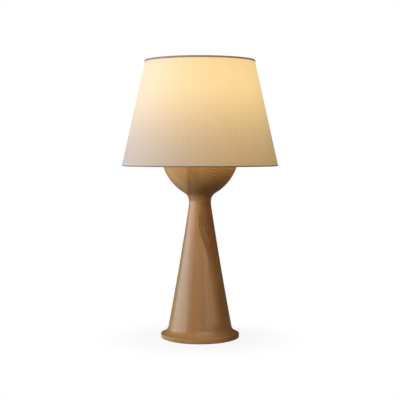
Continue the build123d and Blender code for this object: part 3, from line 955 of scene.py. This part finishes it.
@dataclass
class WoodenBase:
    """The foot and column, the bowl on its neck, and what is fixed under them."""

    nodes: Mapping[str, Thing]
    felt_edge: float = 0.5 * MM
    felt_wave: float = 0.12 * MM
    felt_waves: int = 37
    steps_a_wave: int = 6

    def build(self) -> Thing:
        """Makes the felt, a cut disc with a soft edge.

        Returns:
            The felt pad.
        """
        low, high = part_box("felt_pad")
        radius = high.x

        def soft(reach: float, height: float, angle: float) -> float:
            """The felt's radius, with small waves along its cut edge."""
            wave = self.felt_wave * (1 + math.sin(self.felt_waves * angle)) / 2
            return reach - wave if reach > radius / 2 else reach

        corners = [(0.0, low.z), (radius, low.z), (radius, high.z), (0.0, high.z)]
        outline = eased(corners, (self.felt_edge, self.felt_edge))
        felt = turned_piece("felt_pad_cut", outline, soft, steps=self.felt_waves * self.steps_a_wave)
        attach(felt, "lamp_body")
        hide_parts("felt_pad")
        return felt

    def column_wood(self) -> TurnedWood:
        """The wood of the foot and column.

        Returns:
            The finish, with its boards from left to right.
        """
        left = Trunk(heart=(120.0, -160.0, 0.0), ring=4.5)
        middle = Trunk(heart=(198.0, -30.0, 0.0), ring=4.0)
        right = Trunk(heart=(160.0, -20.0, 0.0), ring=5.0, pith=(-0.05, 0.0, 1.0))
        seam, seam_lean = -28.3, 0.05
        cove = (45.0, 22.0)
        above_cove = (14.0, 40.0)
        low_eye = Eye(middle=(24.0, -60.0, 36.0), size=(13.0, 60.0, 20.0), rings=1.6)
        high_eye = Eye(middle=(14.2, -18.0, 219.0), size=(13.0, 60.0, 58.0), rings=3.2)
        return TurnedWood("satin_lacquered_elm_column", staves=(
            # The pale board on the left, and a darker tone on its part of the foot's ledge: painted shade.
            Stave(left, start=-200.0, figure=0.10, tone="#EDDCA0"),
            Stave(left, start=-199.0, figure=0.10, tone="#DCCCA5", edge=1.0,
                  ends=((22.0, 14.0), (7.0, 10.5))),
            # The middle board; towards the front a greyer tone, part board tone, part painted reflection.
            Stave(middle, start=seam, figure=0.16, tone="#E0C28B", lean=seam_lean),
            Stave(middle, start=-18.0, figure=0.16, tone="#E7E0C6", edge=18.0, ends=((215.0, 180.0),)),
            # A paler foot rim: painted light.
            Stave(middle, start=seam, figure=0.16, tone="#F4E8CC", lean=seam_lean, edge=1.0,
                  ends=((10.5, 7.0),)),
            # Paler by the neck on the left: a painted highlight.
            Stave(middle, start=seam, figure=0.16, tone="#F2DB99", lean=seam_lean, edge=1.0,
                  ends=((182.0, 228.0),)),
            # Darker by the neck on the right.
            Stave(middle, start=-1.5, figure=0.16, tone="#CAAD7D", edge=5.0, ends=((225.0, 245.0),)),
            # The right part of the side, paler and greyer: part board tone, part painted reflection.
            Stave(right, start=10.5, figure=0.28, tone="#FBFFFF", lean=-0.04, edge=5.0,
                  ends=(above_cove, (200.0, 150.0)), eyes=(low_eye,)),
            # Darker towards the side's right edge: painted shade.
            Stave(right, start=34.0, figure=0.3, tone="#CAC8BC", lean=-0.13, edge=14.0,
                  ends=(above_cove, (215.0, 170.0))),
            # The right part of the foot, darker towards its right end: painted shade.
            Stave(right, start=2.0, figure=0.3, tone="#DED7C6", edge=34.0, ends=(cove, (6.0, 14.0))),
            Stave(right, start=34.0, figure=0.3, tone="#B4AB98", edge=30.0, ends=(cove,)),
            # The dark tongue that runs down from the neck.
            Stave(right, start=-3.0, figure=0.44, tone="#C0AF94", step=20.0,
                  ends=((105.0, 195.0), (250.0, 234.0)), eyes=(high_eye,))))

    def bowl_wood(self) -> TurnedWood:
        """The wood of the bowl.

        Returns:
            The finish, with its boards from left to right.
        """
        left = Trunk(heart=(120.0, -160.0, 0.0), ring=5.0)
        strip = Trunk(heart=(198.0, -30.0, 0.0), ring=4.0)
        middle = Trunk(heart=(198.0, 10.0, 0.0), ring=4.0)
        wavy = Trunk(heart=(3.0, -60.0, 308.0), ring=5.5, pith=(0.8, 1.0, -0.1))
        return TurnedWood("satin_lacquered_elm_bowl", staves=(
            Stave(left, start=-200.0, figure=0.12, tone="#F9E5AA"),
            Stave(strip, start=-24.0, figure=0.2, tone="#E2C68A"),
            # Darker in the strip's lower part: painted shade under the bowl.
            Stave(strip, start=-24.0, figure=0.2, tone="#DAB274", edge=1.0, ends=((316.0, 300.0),)),
            Stave(middle, start=-17.0, figure=0.2, tone="#EBC98E"),
            # The wavy board at the top: its figure is grain, its paler tone painted light from the lit shade.
            Stave(wavy, start=-5.0, figure=0.48, tone="#FFEAAC", edge=5.0, ends=((286.0, 310.0),))))

    def dress(self, felt: Thing) -> None:
        """Gives the wood, the felt and the metal under the foot their finishes.

        Args:
            felt: The felt pad.
        """
        dress_nodes(self.nodes, {
            "column": self.column_wood(),
            "bowl": self.bowl_wood(),
            "base_plate": PowderCoat("black_powder_coated_steel", "#2A2A2A", "#1C1C1C"),
            "base_plate_screws": ZINC,
            "threaded_rod": ZINC,
            "rod_washer": ZINC,
            "rod_nut": ZINC,
            "seat_plate": PowderCoat("cream_enamelled_steel", "#E8E3D8", "#DAD4C6"),
            "cord_bush": MouldedPlastic("brown_moulded_nylon", "#4A3524", "#3A2A1C", MouldFace.BLASTED.value),
        })
        dress(felt, PressedFelt("grey_pressed_wool_felt"))


@dataclass
class Wiring:
    """The terminal block in the foot and the wires up the rod."""

    nodes: Mapping[str, Thing]

    def dress(self) -> None:
        """Gives the block and the insulation their finishes."""
        shiny = MouldFace.POLISHED.value
        brown = MouldedPlastic("brown_extruded_wire_sleeve", "#6E4126", "#5C3520", shiny)
        dress_nodes(self.nodes, {
            "terminal_block": MouldedPlastic("white_moulded_polyamide", "#E4E2DA", "#D6D3C8"),
            "live_wire": brown,
            "switched_wire": brown,
            "neutral_wire": MouldedPlastic("blue_extruded_wire_sleeve", "#2F5FA8", "#264E8C", shiny),
        })


@dataclass
class Lampholder:
    """The cup, the threaded socket, the collar and the contacts that hold the bulb."""

    nodes: Mapping[str, Thing]
    sleeve_radius: float = 19.7 * MM
    shoulder_radius: float = 23.45 * MM
    shoulder_height: float = 3.0 * MM
    spigot_radius: float = 18.88 * MM
    spigot_height: float = 6.0 * MM
    socket_radius: float = 13.8 * MM
    chamber_radius: float = 16.28 * MM
    thread_pitch: float = 2.5 * MM
    thread_depth: float = 0.8 * MM
    lead: float = 0.8 * MM
    steps: int = 144

    def build(self) -> Thing:
        """Makes the socket with the thread that the shade's collar runs on.

        Returns:
            The socket.
        """
        low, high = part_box("holder_skirt")
        core_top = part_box("centre_contact")[0].z
        cup_top = low.z + self.spigot_height
        shoulder_top = cup_top + self.shoulder_height
        thread = Thread(self.sleeve_radius, self.thread_depth, self.thread_pitch,
                        shoulder_top + self.lead, high.z - self.lead)
        outline = [
            (self.chamber_radius, low.z), (self.spigot_radius, low.z), (self.spigot_radius, cup_top),
            (self.shoulder_radius, cup_top), (self.shoulder_radius, shoulder_top - self.lead / 2),
            (self.shoulder_radius - self.lead / 2, shoulder_top), (self.sleeve_radius, shoulder_top),
            *((self.sleeve_radius, level) for level in thread.levels()),
            (self.sleeve_radius - self.lead, high.z), (self.socket_radius + self.lead / 2, high.z),
            (self.socket_radius, high.z - self.lead / 2), (self.socket_radius, core_top),
            (self.chamber_radius, core_top),
        ]
        skirt = turned_piece("holder_skirt_threaded", outline, thread.radius, self.steps)
        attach(skirt, "lamp_body")
        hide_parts("holder_skirt")
        return skirt

    def dress(self, skirt: Thing) -> None:
        """Gives the lampholder's plastic, ceramic and metal their finishes.

        Args:
            skirt: The socket.
        """
        cream = MouldedPlastic("cream_moulded_phenolic", "#E6E1D6", "#D9D3C6")
        brass = BareMetal("stamped_brass", "#D9B36A", "#B58E48", MetalLay.STAMPED_BRIGHT.value)
        dress_nodes(self.nodes, {
            "holder_cap": cream,
            "shade_collar": cream,
            "holder_core": Steatite("unglazed_steatite"),
            "holder_lock_screw": ZINC,
            "centre_contact": brass,
            "side_contact": brass,
        })
        dress(skirt, cream)


@dataclass
class Switch:
    """The turn switch in the side of the lampholder."""

    nodes: Mapping[str, Thing]

    def dress(self) -> None:
        """Gives the switch its finishes."""
        shiny = MouldFace.POLISHED.value
        dress_nodes(self.nodes, {
            "switch_body": MouldedPlastic("black_moulded_phenolic", "#2B2826", "#211E1C"),
            "switch_spindle": BareMetal("turned_brass", "#D2AC62", "#A98544", MetalLay.ROLLED.value),
            "switch_knob": MouldedPlastic("cream_polished_urea", "#EAE5DA", "#DFD9CC", shiny),
        })


@dataclass
class Shade:
    """The cone of cloth on its film, the tapes round both edges and the wire frame inside."""

    nodes: Mapping[str, Thing]
    top_level: float
    bottom_radius: float = 150.0 * MM
    top_radius: float = 105.0 * MM
    height: float = 200.0 * MM
    cloth: float = 0.198 * MM
    layer: float = 0.22 * MM
    flap_width: float = 12.0 * MM
    skin_depth: float = 4.35 * MM
    tape: float = 0.5 * MM
    tape_gap: float = 0.05 * MM
    tape_lips: Pair = (3.1 * MM, 0.6 * MM)
    tape_inside: float = 4.4 * MM
    tape_rounds: tuple[float, ...] = (0.3 * MM, 0.9 * MM, 0.9 * MM, 0.2 * MM)
    tape_steps: int = 192
    # The cloth's glow centres this far below the globe's middle; the film's painted glow fades over this
    # share.
    glow_drop: float = 16.5 * MM
    painted_glow_share: float = 0.55
    rows: int = 28
    columns: int = 240

    @property
    def bottom_level(self) -> float:
        """The height of the lower edge."""
        return self.top_level - self.height

    @property
    def lean(self) -> float:
        """How far the side leans in, in radians."""
        return math.atan2(self.bottom_radius - self.top_radius, self.height)

    @property
    def length(self) -> float:
        """The length of the side, from edge to edge."""
        return math.hypot(self.bottom_radius - self.top_radius, self.height)

    def on_side(self, depth: float, up: float) -> Pair:
        """A point of the shade's section.

        Args:
            depth: How far it lies behind the outer face.
            up: How far it lies up the side from the lower edge.

        Returns:
            Its radius and height.
        """
        radius = self.bottom_radius - up * math.sin(self.lean) - depth * math.cos(self.lean)
        return radius, self.bottom_level + up * math.cos(self.lean) - depth * math.sin(self.lean)

    def build_cover(self) -> Thing:
        """Rolls the cloth into its cone, with one edge lapped over the other at the back.

        Returns:
            The cover.
        """
        lap = self.flap_width / self.bottom_radius
        back = math.pi / 2
        turns = [back + (math.tau + lap) * i / self.columns for i in range(self.columns + 1)]
        rows = []
        for step in range(self.rows + 1):
            row = []
            for turn in turns:
                over = min(1.0, max(0.0, (turn - back - math.tau + lap / 2) / (lap / 2)))
                radius, level = self.on_side((2 - over) * self.layer, self.length * step / self.rows)
                row.append((radius * math.cos(turn), radius * math.sin(turn), level))
            rows.append(row)
        cover = grid_piece("shade_cover_cloth", rows)
        shell = cover.modifiers.new("cloth_thickness", "SOLIDIFY")
        shell.thickness = self.cloth
        shell.offset = -1.0
        return cover

    def build_tape(self, name: str, edge: float, way: int, lip: float) -> Thing:
        """Folds a tape over one edge of the shade.

        Args:
            name: The tape's name.
            edge: The edge's place up the side.
            way: +1 at the upper edge, -1 at the lower one.
            lip: How far the tape comes down the outer face.

        Returns:
            The tape.
        """
        gap = self.tape_gap
        back = self.skin_depth + gap
        section = [(-gap, lip), (-gap - self.tape, lip), (-gap - self.tape, -gap - self.tape),
                   (back + self.tape, -gap - self.tape), (back + self.tape, self.tape_inside),
                   (back, self.tape_inside), (back, -gap), (-gap, -gap)]
        corners = [self.on_side(depth, edge - way * drop) for depth, drop in section]
        return turned_piece(name, eased(corners, self.tape_rounds), steps=self.tape_steps)

    def build(self) -> dict[str, Thing]:
        """Makes the cover and its tapes.

        Returns:
            The pieces by name.
        """
        cover = self.build_cover()
        top = self.build_tape("shade_top_tape", self.length, 1, self.tape_lips[0])
        bottom = self.build_tape("shade_bottom_tape", 0.0, -1, self.tape_lips[1])
        for piece, node, slot in ((cover, "shade_cover", "shade_fabric"),
                                  (top, "shade_top_binding", "binding_fabric"),
                                  (bottom, "shade_bottom_binding", "binding_fabric")):
            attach(piece, "shade")
            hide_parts(node)
        return {"cover": cover, "top": top, "bottom": bottom}

    def dress(self, pieces: Mapping[str, Thing]) -> None:
        """Gives the cloth, the tapes, the film and the wire their finishes.

        Args:
            pieces: The cover and its tapes, by name.
        """
        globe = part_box("bulb_globe")[1]
        glow = Glow(centre=(0.0, 0.0, globe.z - globe.x - self.glow_drop), lean=self.lean)
        edge = self.bottom_level
        dress(pieces["cover"], ShadeCloth("ivory_cotton_linen_cloth", glow=glow, lower_edge=edge))
        tape = WovenTape("taupe_cotton_tape")
        dress(pieces["top"], tape)
        dress(pieces["bottom"], tape)
        painted_glow_top = edge + self.painted_glow_share * self.height
        dress(self.nodes["shade_liner"], LiningFilm("white_styrene_film", lower_edge=edge, upper_edge=painted_glow_top))
        wire = PowderCoat("white_powder_coated_wire", "#ECE9E2", "#DEDAD0")
        for name in ("shade_fitter", "shade_arms", "shade_top_ring", "shade_bottom_ring"):
            dress(self.nodes[name], wire)


@dataclass
class Bulb:
    """The screw-in bulb: a lit opal globe on a moulded body with a rolled cap."""

    nodes: Mapping[str, Thing]
    cap_wall: float = 0.4 * MM
    cap_lip: float = 1.0 * MM
    cap_steps: int = 96
    thread_pitch: float = 3.629 * MM
    thread_depth: float = 0.75 * MM
    neck_step: float = 0.3 * MM
    neck_height: float = 9.0 * MM
    shell: float = 1.6 * MM
    deck_drop: float = 8.0 * MM
    body_rounds: Triple = (0.6 * MM, 5.0 * MM, 0.3 * MM)
    # The chips stand on a board of 1.6 mm; what is this far above its underside is phosphor.
    chip_height: float = 2.0 * MM

    def build_cap(self) -> Thing:
        """Rolls the cap's thread.

        Returns:
            The cap.
        """
        low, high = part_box("bulb_cap")
        crest = high.x
        inside = crest - self.cap_wall
        outer, inner = (Thread(radius, self.thread_depth, self.thread_pitch, low.z + self.cap_lip,
                               high.z - self.cap_lip) for radius in (crest, inside))

        def rolled(radius: float, height: float, angle: float) -> float:
            """The radius of the rolled sheet, outside and inside."""
            return min(outer.radius(radius, height, angle), inner.radius(radius, height, angle))

        outline = [(inside, low.z), (crest, low.z)]
        outline += [(crest, level) for level in outer.levels()]
        outline += [(crest, high.z), (inside, high.z)]
        outline += [(inside, level) for level in reversed(inner.levels())]
        return turned_piece("bulb_cap_rolled", outline, rolled, self.cap_steps)

    def build_body(self) -> Thing:
        """Makes the body with its eased neck, its flare and the deck inside it.

        Returns:
            The body.
        """
        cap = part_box("bulb_cap")[1]
        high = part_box("bulb_body")[1]
        seam = high.x
        neck = cap.x - self.neck_step
        flare = (seam - neck) / (high.z - cap.z - self.neck_height)
        deck = high.z - self.deck_drop
        corners = [(0.0, cap.z), (neck, cap.z), (neck, cap.z + self.neck_height), (seam, high.z),
                   (seam - self.shell, high.z), (seam - self.shell - flare * self.deck_drop, deck),
                   (0.0, deck)]
        return turned_piece("bulb_body_moulded", eased(corners, self.body_rounds))

    def build(self) -> dict[str, Thing]:
        """Makes the rolled cap and the moulded body.

        Returns:
            The pieces by name.
        """
        made = {"cap": self.build_cap(), "body": self.build_body()}
        for piece, node, slot in ((made["cap"], "bulb_cap", "cap_metal"),
                                  (made["body"], "bulb_body", "bulb_plastic")):
            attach(piece, "bulb")
            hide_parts(node)
        return made

    def dress(self, pieces: Mapping[str, Thing]) -> None:
        """Gives the bulb its finishes.

        Args:
            pieces: The cap and the body, by name.
        """
        low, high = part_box("bulb_globe")
        chip_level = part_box("led_board")[0].z + self.chip_height
        shiny = MouldFace.POLISHED.value
        dress_nodes(self.nodes, {
            "bulb_globe": OpalGlobe("lit_opal_polycarbonate", seam=low.z, crown=high.z),
            "led_board": LightBoard("white_masked_aluminium_board", chip_level=chip_level),
            "bulb_insulator": MouldedPlastic("black_moulded_glass_filled_resin", "#1E1C1B", "#161514", shiny),
            "bulb_tip": BareMetal("stamped_nickel", "#C9C6BE", "#A3A098", MetalLay.STAMPED.value),
        })
        rolled = MetalLay.TURNED_BRIGHT.value
        dress(pieces["cap"], BareMetal("rolled_aluminium", "#D2D4D6", "#B2B5B8", rolled))
        dress(pieces["body"], MouldedPlastic("white_moulded_polycarbonate", "#F0EFEA", "#E7E5DE", shiny))


@dataclass(frozen=True)
class Panel:
    """A soft light panel; its bearing is counted in degrees from the camera round to the picture's left."""

    name: str
    bearing: float
    distance: float
    height: float
    size: Pair
    power: float
    colour: str

    def hang(self, aim: Vector) -> None:
        """Hangs the panel so that it faces a point.

        Args:
            aim: The point.
        """
        panel = bpy.data.lights.new(self.name, "AREA")
        panel.shape = "RECTANGLE"
        panel.size, panel.size_y = self.size
        panel.energy = self.power
        panel.color = linear(self.colour)[:3]
        hung = bpy.data.objects.new(self.name, panel)
        bearing = math.radians(self.bearing)
        hung.location = (-self.distance * math.sin(bearing), -self.distance * math.cos(bearing), self.height)
        hung.rotation_euler = (aim - hung.location).to_track_quat("-Z", "Y").to_euler()
        hung.visible_camera = False
        bpy.context.scene.collection.objects.link(hung)


@dataclass
class Studio:
    """The camera, two soft panels on the left and one in front, a little even light and the white paper."""

    camera_place: Triple = (0.0, -1.9215, 0.35813)
    camera_tilt: float = 0.0477
    lens: float = 90.0
    sensor: float = 36.0
    paper_size: float = 12.0
    paper_drop: float = 0.2 * MM
    panels: tuple[Panel, ...] = (
        Panel("key_panel", bearing=62.0, distance=1.2, height=0.3, size=(0.85, 0.55),
              power=6.7, colour="#E3F2FF"),
        Panel("side_panel", bearing=96.0, distance=1.2, height=0.3, size=(0.85, 0.55),
              power=8.3, colour="#D1DBFF"),
        Panel("fill_panel", bearing=-25.0, distance=1.9, height=1.8, size=(1.5, 1.1),
              power=31.0, colour="#FFD7AA"),
    )
    ambient: float = 0.05
    ambient_colour: str = "#FFEBC8"

    def place_camera(self) -> None:
        """Puts the camera where the photograph was taken from."""
        lens = bpy.data.cameras.new("camera")
        lens.lens = self.lens
        lens.sensor_width = self.sensor
        camera = bpy.data.objects.new("camera", lens)
        camera.location = self.camera_place
        camera.rotation_euler = (math.pi / 2 - self.camera_tilt, 0.0, 0.0)
        bpy.context.scene.collection.objects.link(camera)
        bpy.context.scene.camera = camera

    def light_room(self) -> None:
        """Sets the even light of the room, which the lens and shiny things see as white."""
        room = bpy.data.worlds.new("room")
        bpy.context.scene.world = room
        room.use_nodes = True
        tree = room.node_tree
        tree.nodes.clear()
        seen = seen_ray(tree, add(tree, "TexCoord"))
        level = add(tree, "MapRange", {0: seen, 3: self.ambient, 4: 1.0})
        tint = add(tree, "Mix", {0: seen, 6: linear(self.ambient_colour), 7: WHITE}, out=2, data_type="RGBA")
        air = add(tree, "Background", {"Color": tint, "Strength": level})
        add(tree, "OutputWorld", {"Surface": air})

    def lay_paper(self) -> None:
        """Lays the white paper that the lamp stands on."""
        half = self.paper_size / 2
        rows = [[(x, y, -self.paper_drop) for x in (-half, half)] for y in (-half, half)]
        paper = grid_piece("paper_sweep", rows)
        paper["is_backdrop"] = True
        dress(paper, PaperSweep("white_studio_paper"))

    def set_up(self, aim: Vector) -> None:
        """Sets up the camera, the light and the paper.

        Args:
            aim: The point that the panels face.
        """
        self.place_camera()
        self.light_room()
        self.lay_paper()
        for panel in self.panels:
            panel.hang(aim)
        bpy.context.scene.view_settings.view_transform = "Standard"


def main() -> None:
    """Builds and dresses the lamp, one sub-assembly after another."""
    logging.basicConfig(level=logging.INFO, format="%(name)s: %(message)s")
    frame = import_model()
    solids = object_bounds()
    nodes = frame["nodes"]
    Studio().set_up(aim=(solids[0] + solids[1]) / 2)
    base = WoodenBase(nodes)
    base.dress(base.build())
    Wiring(nodes).dress()
    holder = Lampholder(nodes)
    holder.dress(holder.build())
    Switch(nodes).dress()
    shade = Shade(nodes, top_level=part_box("shade_cover")[1].z)
    shade.dress(shade.build())
    bulb = Bulb(nodes)
    bulb.dress(bulb.build())


if __name__ == "__main__":
    main()
